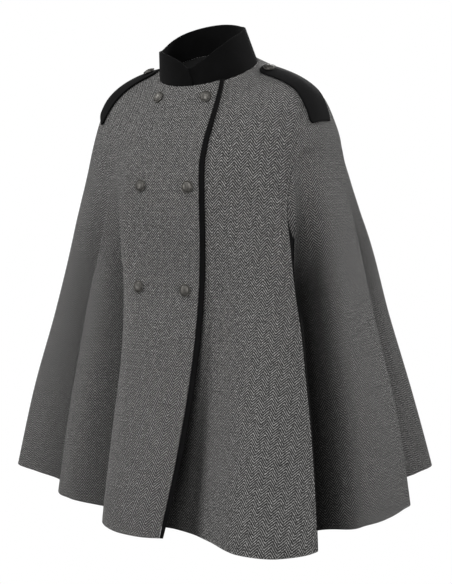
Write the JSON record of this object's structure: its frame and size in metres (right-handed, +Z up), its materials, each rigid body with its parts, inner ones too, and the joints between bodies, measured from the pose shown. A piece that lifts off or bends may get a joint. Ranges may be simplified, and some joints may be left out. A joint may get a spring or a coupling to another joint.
{
  "type": "cape (women's double-breasted hip-length wool cape with stand collar and shoulder straps)",
  "caption": "Hip-length grey herringbone wool cape with black stand collar, black shoulder straps, black front edge and domed metal buttons, in hollow worn form",
  "frame": {"origin": "middle of the neck base, where the wearer's neck and shoulders carry the cape", "axes": "+Z up, the front faces -Y, +X to the wearer's left"},
  "size_m": [0.6755, 0.5926, 0.7354],
  "materials": {
    "herringbone_wool": "mid grey wool tweed in a black and light grey herringbone, matt with a short nap",
    "black_wool": "smooth black melton wool, matt",
    "aged_metal": "domed metal button, darkened antique pewter finish with a bright worn rim"
  },
  "bodies": {
    "root": {"back_left": "herringbone_wool", "back_right": "herringbone_wool", "front_left": "herringbone_wool", "front_right": "herringbone_wool", "side_left": "herringbone_wool", "side_right": "herringbone_wool", "collar": "black_wool", "edge_strip": "black_wool", "strap_left": "black_wool", "strap_right": "black_wool", "button_left_1": "aged_metal", "button_left_2": "aged_metal", "button_left_3": "aged_metal", "button_right_1": "aged_metal", "button_right_2": "aged_metal", "button_right_3": "aged_metal", "button_strap_left": "aged_metal", "button_strap_right": "aged_metal"}
  },
  "joints": []
}
